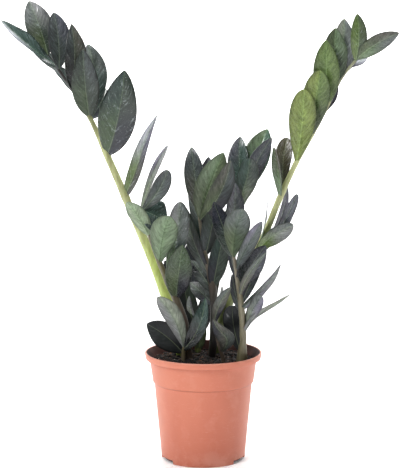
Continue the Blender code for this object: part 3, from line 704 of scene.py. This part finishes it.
def markings_group():
    """Blade markings: arching side veins, rib and margin lines, mottling, streaks, and painted glints on the
    wax.

    The streaks tint the colour as a painted sheen, the margin darkens as painted shade, and its pale line is
    a painted highlight.
    """
    tree = bpy.data.node_groups.new("leaflet_markings", "ShaderNodeTree")
    sockets = (
        ("INPUT", "Color", "Tone"), ("INPUT", "Vector", "Share Span Place"), ("INPUT", "Float", "Upper Wax"),
        ("OUTPUT", "Color", "Color"), ("OUTPUT", "Float", "Roughness Wax Height"),
    )
    for way, kind, titles in sockets:
        for title in titles.split():
            tree.interface.new_socket(title, in_out=way, socket_type="NodeSocket" + kind)
    given = tree.nodes.new("NodeGroupInput").outputs
    share = add_node(tree, "ShaderNodeSeparateXYZ", {0: given["Share"]}).outputs
    span = add_node(tree, "ShaderNodeSeparateXYZ", {0: given["Span"]}).outputs
    seed, reach, away = share["Z"], maths(tree, "ABSOLUTE", share["Y"]), maths(tree, "ABSOLUTE", span["Y"])
    upper = band(tree, given["Upper"], -0.4, 0.4)
    seeded = add_node(tree, "ShaderNodeVectorMath", {0: given["Place"], 1: seed}, operation="ADD").outputs[0]
    cloud = noise(tree, seeded, 60.0, 4.0, 0.6)
    blotch = noise(tree, seeded, 190.0, 3.0, 0.6)
    fine = noise(tree, seeded, 520.0, 3.0, 0.6)
    rib_width = band(tree, share["X"], 0.0, 1.0, 1.0, 0.3)
    rib = band(tree, maths(tree, "DIVIDE", away, rib_width), 1.0, 0.35)
    lean = times(tree, maths(tree, "POWER", reach, VEIN_CURVE), VEIN_LEAN)
    run = plus(tree, maths(tree, "SUBTRACT", share["X"], lean), times(tree, cloud, 0.07))
    drawn = {"X": times(tree, run, STREAKS), "Y": times(tree, share["Y"], 2.4), "Z": seed}
    streak = noise(tree, add_node(tree, "ShaderNodeCombineXYZ", drawn).outputs[0], 1.0, 4.0, 0.62)
    half_step = times(tree, maths(tree, "GREATER_THAN", share["Y"], 0.0), 0.5)
    phase = maths(tree, "FRACT", plus(tree, times(tree, run, SIDE_VEINS), half_step))
    vein_gap = maths(tree, "ABSOLUTE", maths(tree, "SUBTRACT", phase, 0.5))
    vein = times(tree, band(tree, vein_gap, 0.1, 0.0), band(tree, reach, 0.9, 0.4))
    vein = times(tree, vein, band(tree, blotch, 0.4, 0.62))
    colour = given["Tone"]
    # The streaks along the side veins tint the colour as a painted sheen; clouds, blotches, grain and veins
    # are the blade's own marks.
    for factor in (
        band(tree, cloud, 0.34, 0.66, 1.12, 0.88), band(tree, blotch, 0.34, 0.68, 0.93, 1.09),
        band(tree, fine, 0.35, 0.7, 0.94, 1.09), band(tree, streak, 0.36, 0.68, 0.7, 1.38),
        plus(tree, times(tree, vein, band(tree, upper, 0.0, 1.0, -0.22, 0.5)), 1.0),
    ):
        colour = tinted(tree, colour, factor)
    greener = mixed(tree, 1.0, tinted(tree, colour, 1.2), linear(GREEN_LIGHT), "MULTIPLY")
    colour = mixed(tree, band(tree, reach, 0.5, 0.05, 0.0, 0.3), colour, greener)
    # Painted shade: the colour darkens towards the margin, where the blade curves away.
    colour = tinted(tree, colour, band(tree, reach, 0.66, 1.0, 1.0, 0.5))
    rib_tone = tinted(tree, colour, band(tree, upper, 0.0, 1.0, 0.5, 1.8))
    rib_tone = mixed(tree, times(tree, upper, 0.34), rib_tone, linear(RIB_PALE))
    colour = mixed(tree, times(tree, rib, 0.75), colour, rib_tone)
    # A painted highlight: a pale line along the margin.
    margin = band(tree, maths(tree, "SUBTRACT", span["Z"], away), 0.7, 0.2)
    margin_highlight_tone = mixed(tree, 0.25, tinted(tree, colour, 1.3), linear(MARGIN_PAINTED_HIGHLIGHT))
    colour = mixed(tree, times(tree, margin, 0.4), colour, margin_highlight_tone)
    gloss = times(tree, upper, given["Wax"])
    # Painted glints: pale streaks and specks on the waxy upper faces stand for reflections of the lights.
    painted_glint_share = band(tree, gloss, 0.3, 0.9, 0.0, 0.5)
    painted_glint_streaks = times(tree, times(tree, band(tree, streak, 0.54, 0.66), band(tree, cloud, 0.5, 0.6)), painted_glint_share)
    painted_glint_specks = times(tree, band(tree, fine, 0.64, 0.7), painted_glint_share)
    rough = plus(tree, band(tree, gloss, 0.0, 0.5, 0.56, 0.2), band(tree, fine, 0.3, 0.7, -0.04, 0.06))
    relief = plus(tree, times(tree, vein, -0.45), times(tree, fine, 0.15), times(tree, cloud, 0.9))
    put_out = {
        "Color": mixed(tree, maths(tree, "MAXIMUM", painted_glint_streaks, painted_glint_specks), colour, linear(PAINTED_GLINT)),
        "Roughness": plus(tree, rough, times(tree, rib, 0.08)),
        "Wax": times(tree, gloss, band(tree, cloud, 0.3, 0.7, 0.9, 0.6)),
        "Height": plus(tree, relief, times(tree, streak, 1.1)),
    }
    fill_inputs(tree, tree.nodes.new("NodeGroupOutput"), put_out)
    return tree


def leaflet_material(markings):
    """Waxy leaflet: its markings on a semi-gloss shader, with a coat of wax on the upper face."""
    material, tree, shader = new_material("waxy_leaflet")
    group = add_node(tree, "ShaderNodeGroup", {
        "Tone": marked(tree, "tone"), "Share": marked(tree, "blade_share"),
        "Span": marked(tree, "blade_span"), "Place": own_place(tree),
        "Upper": marked(tree, "upper_face", "Fac"), "Wax": marked(tree, "wax", "Fac"),
    }, node_tree=markings).outputs
    fill_inputs(tree, shader, {
        "Base Color": group["Color"], "Roughness": group["Roughness"], "Coat Weight": group["Wax"],
        "Coat Roughness": 0.07, "Coat IOR": 1.42, "Normal": bumped(tree, group["Height"], 0.5, 0.0009),
        "Specular IOR Level": 0.22,
    })
    return material


def stalk_material():
    """Fleshy stalk: its tone along the length, with dark flecks drawn out along it and a satin skin."""
    material, tree, shader = new_material("stalk_skin")
    place, tone = own_place(tree), marked(tree, "tone")
    streak = noise(tree, place, 160.0, 4.0, 0.6, (1.0, 1.0, 0.16))
    fleck = noise(tree, place, 420.0, 3.0, 0.6, (1.0, 1.0, 0.4))
    cloud = noise(tree, place, 36.0, 3.0)
    flecks = times(tree, band(tree, fleck, 0.62, 0.7), band(tree, cloud, 0.4, 0.6))
    streaked = mixed(tree, 1.0, tone, linear(STREAK_TONE), "MULTIPLY")
    flecked = mixed(tree, 1.0, tone, linear(FLECK_TONE), "MULTIPLY")
    colour = mixed(tree, band(tree, streak, 0.4, 0.68, 0.0, 0.8), tone, streaked)
    fill_inputs(tree, shader, {
        "Base Color": mixed(tree, times(tree, flecks, 0.7), colour, flecked),
        "Roughness": band(tree, streak, 0.3, 0.7, 0.36, 0.5),
        "Normal": bumped(tree, plus(tree, streak, times(tree, fleck, 0.3)), 0.3, 0.0006),
        "Specular IOR Level": 0.45,
    })
    return material


def tones_along(line, stops):
    """Colour on each ring of a stalk: named tones at shares of its length, blended evenly between them."""
    gone = np.concatenate(((0.0,), np.cumsum(np.linalg.norm(np.diff(line[:, :3], axis=0), axis=1))))
    share = (gone - STEM_SINK) / (gone[-1] - STEM_SINK)
    colours = np.array([linear(STALK_TONES[tone], False) for tone in stops.values()])
    return np.column_stack([np.interp(share, list(stops), colours[:, channel]) for channel in range(3)])


LEAFLET_SKIN = leaflet_material(markings_group())
STALK_SKIN = stalk_material()


def grow_stem(node, seed, path, stops, leaflets):
    """Makes one stem's stalk and leaflets, and puts them in place of its solid.

    Its path gives x, height, depth and radius, and its stops give stalk tones at shares of its length.
    """
    draw = np.random.default_rng(seed)
    line = stem_line(path)
    feet = feet_on(line, np.array([leaflet.foot for leaflet in leaflets], float))
    rings = stalk_rings(line, feet)
    tones = np.repeat(tones_along(line, stops)[:, None, :], STALK_SIDES, axis=1)
    stalk = lay_skins(f"{node}_stalk", [rings], {"tone": [tones]})
    hand_over(stalk, STALK_SKIN, node)
    parts = [leaflet_skin(foot, leaflet, draw) for foot, leaflet in zip(feet, leaflets)]
    shapes, *marks = zip(*parts)
    blades = lay_skins(f"{node}_leaflets", shapes, dict(zip(BLADE_MARKS, marks)))
    hand_over(blades, LEAFLET_SKIN, node)


grow_stem("stem_left_tall", seed=1, path=(
    (-28, 146, 24, 9.5), (-43, 205, 26, 8.6), (-68, 280, 29, 7.4), (-98, 352, 32, 6.4), (-136, 441, 35, 5.1),
    (-165, 505, 40, 3.2), (-204, 565, 48, 2.2), (-222, 590, 52, 1.8),
), stops={0: "spring", 0.3: "spring", 0.45: "celery", 0.72: "celery", 0.82: "painted_shade_black", 1: "painted_shade_black"}, leaflets=(
    Leaflet(386, (-66, 503, 12), 19, -12, "leaf taupe silver lilac", 4, 0.35, -0.2, 0.4, 1.5, 0.8),
    Leaflet(445, (-112, 567, 2), 55, -8, "fern navy pine shade", 6, 0.2, 5.5, 0.5, 0, 0.8),
    Leaflet(498, (-139, 541, 78), 26, 15, "pine steel ink pine", 5, 0.2, 2, wax=0.9),
    Leaflet(501, (-171, 597, 12), 39, 6, "moss shade shade slate", 5, 0.22, -2, 0.48, 0, 0.45),
    Leaflet(507, (-164, 604, 80), 39, 12, "fog teal fog dove", 5, 0.18, 8, wax=0.9),
    Leaflet(536, (-213, 570, 92), 28, 122, "pine", 4, 0.15),
    Leaflet(540, (-187, 633, 40), 35, 30, "ink coal slate taupe", 5, 0.25, 2, 0.46, 0, 0.7),
    Leaflet(563, (-245, 597, 98), 30, 122, "pine", 4, 0.15),
    Leaflet(568, (-212, 649, 50), 34, 25, "slate slate slate steel", 5, 0.25, 1.5, 0.55, 0, 0.5),
    Leaflet(572, (-287, 638, 20), 36, 58, "teal teal silver teal", -1, 0.3, -3.2, wax=0.9),
    Leaflet(589, (-247, 665, 62), 39, 8, "olive shade fog ash", 5, 0.2, 1.5, wax=1),
))

# Inner left stem
# A shorter stem rises in front of the tall one, dark where it leaves the soil. Its lower leaflets turn
# their dull undersides to the front and its upper ones stand nearly on edge.
grow_stem("stem_left_inner", seed=2, path=(
    (-21, 140, 0, 6.2), (-28, 205, -1, 5.6), (-51, 260, -3, 4.6), (-71, 310, -5, 3.4), (-87, 359, -5, 2.2),
    (-91, 371, -5, 1.8),
), stops={0: "umber", 0.3: "umber", 0.6: "olive", 1: "clay"}, leaflets=(
    Leaflet(236, (-30, 315, -36), 38, 4, "olive plum moss fern", 5, 0.12, -1, wax=0.4),
    Leaflet(262, (-33, 378, -20), 31, 8, "sage pine ash dove", 5, 0.2, 2.5, 0.66, 0, 0.9),
    Leaflet(289, (-48, 357, -74), 39, 178, "sage", 4, 0.12, 4, 0.58),
    Leaflet(328, (-109, 378, -44), 26, 158, "pearl", 4, 0.15),
    Leaflet(366, (-53, 349, 4), 46, -14, "teal teal teal pine", 4, 0.12, wax=1),
    Leaflet(365, (-51, 424, -30), 24, 16, "fog dove slate", 4, 0.25, 4, 0.66, 0, 0.5),
    Leaflet(366, (-51, 459, 12), 11, -20, "mist mist lilac ash", 3, 0.3, -2.9, 0.6, 0.2, 0.7),
))

# Centre stem
# The upright stem in the middle has a stalk painted near-black low down as painted shade and grey-brown
# above, near-black leaflets at its foot and behind it, and greener ones with matt faces at its top.
grow_stem("stem_centre", seed=3, path=(
    (12, 143, 14, 5.8), (15, 185, 12, 5.8), (14, 249, 9, 5.4), (3, 300, 5, 3.6), (-5, 350, 6, 2.2),
    (-6, 366, 8, 1.8),
), stops={0: "painted_shade_black", 0.36: "painted_shade_black", 0.54: "umber", 0.74: "clay", 1: "clay"}, leaflets=(
    Leaflet(228, (-19, 260, 22), 22, 10, "steel fog fog ash", 3, 0.15, wax=0.9),
    Leaflet(246, (-17, 292, 28), 24, 20, "dove plum ink dove", 3, 0.15, wax=0.6),
    Leaflet(267, (-29, 373, 2), 23, -30, "dove plum ash shade", 4, 0.2, -3, 0.62),
    Leaflet(252, (30, 338, -8), 29, 18, "navy shade pine shade", 4, 0.2, -1.5, wax=0.2),
    Leaflet(300, (19, 378, 2), 30, 12, "slate coal shade ink", 4, 0.2, wax=0.2),
    Leaflet(300, (-20, 404, 34), 24, 10, "pine ink fog ink", 4, 0.2, 2.5),
    Leaflet(352, (39, 438, -34), 31, 8, "olive plum taupe slate", 5, 0.15, 8, wax=0.2),
    Leaflet(355, (29, 449, -10), 41, 4, "olive moss sage olive", 5, 0.15, -2, wax=0.35),
    Leaflet(360, (8, 443, 32), 24, 10, "plum steel", 4, 0.2, wax=0.6),
    Leaflet(364, (-17, 457, 24), 30, -12, "taupe slate slate", 5, 0.25, 1, wax=0.8),
))

# Back stem
# A slender stem stands behind the centre one and leans right. Only its upper leaflets show over the others,
# some freshly green and glossy, some grey-purple with a pale rib.
grow_stem("stem_centre_back", seed=4, path=(
    (15, 152, 52, 4.6), (18, 200, 58, 4.0), (18, 240, 65, 2.8), (28, 285, 68, 2.3), (45, 332, 72, 2.3),
    (53, 366, 76, 2.3), (61, 396, 80, 1.8),
# The stalk's near-black middle is painted shade.
), stops={0: "moss", 0.5: "painted_shade_black", 1: "umber"}, leaflets=(
    Leaflet(300, (42, 376, 107), 34, 150, "ink", 4, 0.18, 0, 0.62),
    Leaflet(330, (46, 405, 44), 27, 14, "fog steel lilac steel", 4, 0.3, -1, wax=0.6),
    Leaflet(362, (67, 441, 44), 31, 4, "slate mist teal dove", 4, 0.2, -0.5, 0.68, -1.5),
    Leaflet(374, (74, 442, 104), 17, 20, "plum navy", 4, 0.2, -1),
    Leaflet(386, (98, 470, 76), 26, 14, "steel plum steel", 4, 0.15, -6, wax=0.4),
    Leaflet(392, (53, 472, 96), 32, -15, "teal pine steel teal", 4, 0.3, -4, wax=1),
    Leaflet(394, (92, 483, 100), 40, -8, "jade jade sage jade", 4, 0.2, -1.5, wax=0.9),
))

# Front right stem
# The front stem on the right stands upright on an olive stalk, grey-brown higher up. Its leaflets turn from
# near-black upper faces to grey-sage undersides, and two narrow ones reach out to the right at its foot.
grow_stem("stem_right_front", seed=5, path=(
    (56, 134, -28, 8.4), (57, 160, -32, 6.6), (58, 178, -36, 4.8), (55, 227, -45, 4.2), (47, 281, -57, 2.8),
    (44, 299, -60, 2.2),
), stops={0: "olive", 0.3: "khaki", 0.7: "khaki", 1: "clay"}, leaflets=(
    Leaflet(152, (42, 226, 2), 28, -12, "ink coal ink", 4, 0.2, -3, 0.72, 0, 0.15),
    Leaflet(184, (85, 240, -66), 20, 160, "mist ash fog lilac", 4, 0.15, 4.5, 0.68),
    Leaflet(184, (125, 242, -52), 14, -120, "ash ink mist ash", 4.5, 0.25, 3, 0.52, 5),
    Leaflet(215, (42, 272, -38), 13, -30, "slate plum plum ink", 3, 0.2, -1),
    Leaflet(220, (112, 287, -50), 18, 50, "shade lilac steel ash", 4, 0.25, -0.5, 0.42, -1.5),
    Leaflet(228, (86, 294, -40), 15, 20, "plum slate ink navy", 4, 0.2, -3),
    Leaflet(241, (91, 304, -92), 11, 20, "taupe taupe dove", 4, 0.2, -7),
    Leaflet(262, (37, 308, -48), 9, -30, "navy plum", 3, 0.2, 1),
    Leaflet(252, (90, 314, -58), 32, 14, "coal plum navy steel", 4, 0.15, -3, wax=0.4),
    Leaflet(279, (85, 349, -112), 20, 160, "dove slate lilac dove", 4, 0.15, 3),
    Leaflet(295, (15, 378, -46), 26, -10, "shade ink navy", 4, 0.15, 1, wax=0.4),
    Leaflet(297, (58, 367, -100), 36, 176, "olive moss dove", 4, 0.1, 5, 0.6),
))

# Tall right stem
# The second tall stem leans to the right on a pale yellow-green stalk. Its leaflets are the greenest, and
# overlap in a row that turns its upper faces to the front, each with a pale rib.
grow_stem("stem_right_tall", seed=6, path=(
    (16, 148, 34, 7.8), (30, 212, 34, 7.0), (40, 235, 33, 6.6), (85, 322, 24, 5.2), (109, 381, 16, 4.6),
    (134, 436, 7, 3.8), (167, 496, -5, 3.0), (195, 553, -16, 2.2), (219, 584, -22, 1.8),
), stops={0: "moss", 0.16: "moss", 0.26: "celery", 0.75: "celery", 1: "reed"}, leaflets=(
    Leaflet(303, (130, 344, 6), 28, 32, "leaf leaf dove ash", 4, 0.3, -8.5, 0.66, 0, 0.4),
    Leaflet(308, (92, 381, -14), 16, 86, "pearl mist silver", 3, 0.15),
    Leaflet(300, (135, 389, 14), 16, 26, "steel ink steel", 4, 0.25, 8, 0.68, 2, 0.6),
    Leaflet(304, (121, 399, 34), 15, 36, "lilac plum lilac", 4, 0.2, 12, 0.52, 2, 0.6),
    Leaflet(384, (101, 457, 0), 16, -45, "sage sage olive bronze", 4, 0.45, 6.5, 0.58, 0, 0.7),
    Leaflet(396, (120, 471, 28), 25, -14, "taupe bronze bronze bronze", 4, 0.25, -2.5, 0.64, 0, 0.6),
    Leaflet(434, (144, 540, -34), 38, -5, "lime", 5, 0.2, 2.4, 0.66, 0, 0.4),
    Leaflet(472, (167, 567, -36), 38, -2, "lime olive lime leaf", 5, 0.18, -1, 0.64, 0, 0.4),
    Leaflet(509, (189, 554, 32), 16, 30, "coal plum", 4, 0.2),
    Leaflet(520, (175, 610, -34), 37, -4, "leaf leaf", 5, 0.2, -1.5, wax=0.4),
    Leaflet(545, (188, 627, -20), 36, 6, "olive fern olive sage", 5, 0.2, -3.5, wax=0.6),
    Leaflet(560, (200, 640, 2), 30, 12, "ash silver mist fog", 5, 0.3, -2, wax=0.6),
    Leaflet(566, (220, 618, 12), 20, 10, "plum fog", 4, 0.2),
    Leaflet(572, (233, 590, 22), 14, 130, "lilac lilac silver", 3, 0.15),
    Leaflet(581, (218, 647, -30), 23, 0, "leaf moss leaf olive", 5, 0.2, 3, wax=0.7),
    Leaflet(583, (278, 620, -44), 24, 8, "olive sage taupe fog", 4, 0.2, -4, wax=0.4),
))

# Young shoots
# Three short shoots stand low between the stems: one at the left with three broad leaflets, a brown-grey
# one in the middle, and one at the back whose dark leaflets close the view behind the stalks.
grow_stem("shoot_left", seed=7, path=(
    (-29, 138, -12, 3.4), (-29, 156, -12, 3.0), (-28, 166, -13, 2.4),
), stops={0: "umber", 1: "olive"}, leaflets=(
    Leaflet(156, (-82, 199, -4), 38, -10, "coal ink", 4, 0.12, 4.2, wax=0.25),
    Leaflet(161, (3, 237, -30), 27, -30, "ink coal pine teal", 4, 0.2, 11, wax=0.5),
    Leaflet(164, (-66, 239, -48), 27, 165, "ash mist", 4, 0.15, -5.5, 0.6),
))
grow_stem("shoot_middle", seed=8, path=(
    (30, 139, -26, 3.6), (28, 152, -27, 3.0), (22, 170, -28, 2.4), (17, 200, -29, 2.0), (17, 216, -30, 1.6),
), stops={0: "umber", 0.6: "umber", 1: "clay"}, leaflets=(
    Leaflet(158, (14, 206, -72), 23, 8, "taupe dove navy taupe", 4, 0.15, 9.5, 0.42, 4, 0.2),
    Leaflet(203, (40, 253, -60), 16, -15, "taupe plum dove taupe", 4, 0.15, -3, wax=0.15),
    Leaflet(214, (27, 255, -28), 12, 60, "ash", 3, 0.2),
))
grow_stem("shoot_back", seed=9, path=(
    (-7, 152, 50, 5.0), (-9, 180, 55, 4.2), (-12, 215, 64, 3.2), (-14, 240, 70, 2.2),
), stops={0: "moss", 1: "umber"}, leaflets=(
    Leaflet(158, (-1, 205, 42), 16, 10, "olive", 3, 0.15),
    Leaflet(170, (-56, 214, 84), 28, 20, "ink", 4),
    Leaflet(176, (4, 246, 92), 26, 150, "ink", 3),
    Leaflet(203, (-20, 240, 46), 9, -20, "ash silver silver lilac", 3, 0.15, -3, wax=0.8),
    Leaflet(190, (-31, 278, 60), 27, 10, "coal shade coal shade", 4, 0.15, -4, 0.46),
    Leaflet(228, (-56, 292, 104), 34, 170, "ink", 4),
    Leaflet(236, (-22, 318, 92), 28, 160, "navy", 4),
))

# Studio
# A pale floor rolls up into a backdrop behind the plant. Large soft lights stand high at the left and
# right, and one hangs over the plant. To the camera alone the backdrop is open from behind, and the far
# floor and the air are white.
FLOOR_HALF = 9000.0
FLOOR_FRONT = -5500.0
SWEEP_START = 2500.0
SWEEP_RADIUS = 1500.0
BACKDROP_TOP = 7000.0
PAPER_DARK = (247, 247, 247)
PAPER_PALE = (251, 251, 251)
WHITE = (1.0, 1.0, 1.0, 1.0)
GLOW = 0.12
FAR_GLOW = 0.88
FAR_START = 1.5
FAR_END = 4.0


def studio_sweep():
    """The floor's profile carried across: flat, then a quarter circle, then straight up."""
    bend = arc((SWEEP_START, SWEEP_RADIUS), SWEEP_RADIUS, -90, 0, 24)
    profile = np.vstack(((FLOOR_FRONT, 0.0), (0.0, 0.0), bend, (SWEEP_START + SWEEP_RADIUS, BACKDROP_TOP)))
    points = [(x, y, z) for y, z in profile for x in (-FLOOR_HALF, FLOOR_HALF)]
    faces = [(2 * row, 2 * row + 1, 2 * row + 3, 2 * row + 2) for row in range(len(profile) - 1)]
    mesh = bpy.data.meshes.new("studio_sweep")
    mesh.from_pydata(np.array(points) * MM, [], faces)
    mesh.shade_smooth()
    sweep = placed("studio_sweep", mesh)
    material, tree, shader = new_material("pale_paper")
    place = own_place(tree)
    ray = add_node(tree, "ShaderNodeLightPath").outputs["Is Camera Ray"]
    away = add_node(tree, "ShaderNodeVectorMath", {0: place}, operation="LENGTH").outputs["Value"]
    far_glow = times(tree, ray, band(tree, away, FAR_START, FAR_END, 0.0, FAR_GLOW))
    fill_inputs(tree, shader, {
        "Base Color": mixed(tree, noise(tree, place, 3.0, 2.0), linear(PAPER_DARK), linear(PAPER_PALE)),
        "Roughness": 0.9, "Specular IOR Level": 0.0,
        "Emission Color": WHITE, "Emission Strength": plus(tree, far_glow, GLOW),
    })
    behind = add_node(tree, "ShaderNodeNewGeometry").outputs["Backfacing"]
    paper = add_node(tree, "ShaderNodeMixShader", {
        0: times(tree, ray, behind), 1: shader.outputs["BSDF"],
        2: add_node(tree, "ShaderNodeBsdfTransparent").outputs["BSDF"],
    })
    tree.links.new(paper.outputs["Shader"], tree.nodes["Material Output"].inputs["Surface"])
    mesh.materials.append(material)


def soft_light(name, place, aim, size, power):
    """A rectangular soft box at a place, turned to face a point."""
    light = bpy.data.lights.new(name, "AREA")
    light.shape = "RECTANGLE"
    light.size, light.size_y = size
    light.energy = power
    item = placed(name, light)
    item.location = place
    item.rotation_euler = (Vector(aim) - Vector(place)).to_track_quat("-Z", "Y").to_euler()


studio_sweep()
soft_light("key_left", (-1.8, -2.2, 2.5), (0.0, 0.0, 0.35), (0.9, 1.1), 73.0)
soft_light("fill_right", (2.5, -1.6, 1.7), (0.0, 0.0, 0.35), (1.0, 1.6), 7.0)
soft_light("top", (0.0, 0.6, 2.6), (0.0, 0.0, 0.4), (1.6, 1.0), 26.0)
soft_light("backdrop_wash", (0.0, 0.9, 4.2), (0.0, 3.4, 0.6), (5.0, 1.2), 300.0)
world = bpy.data.worlds.new("studio_air")
world.use_nodes = True
air = world.node_tree
seen = add_node(air, "ShaderNodeLightPath").outputs["Is Camera Ray"]
fill_inputs(air, air.nodes["Background"], {"Color": WHITE, "Strength": maths(air, "MAXIMUM", seen, GLOW)})
bpy.context.scene.world = world
bpy.context.scene.view_settings.view_transform = "Standard"
bpy.context.scene.view_settings.look = "None"
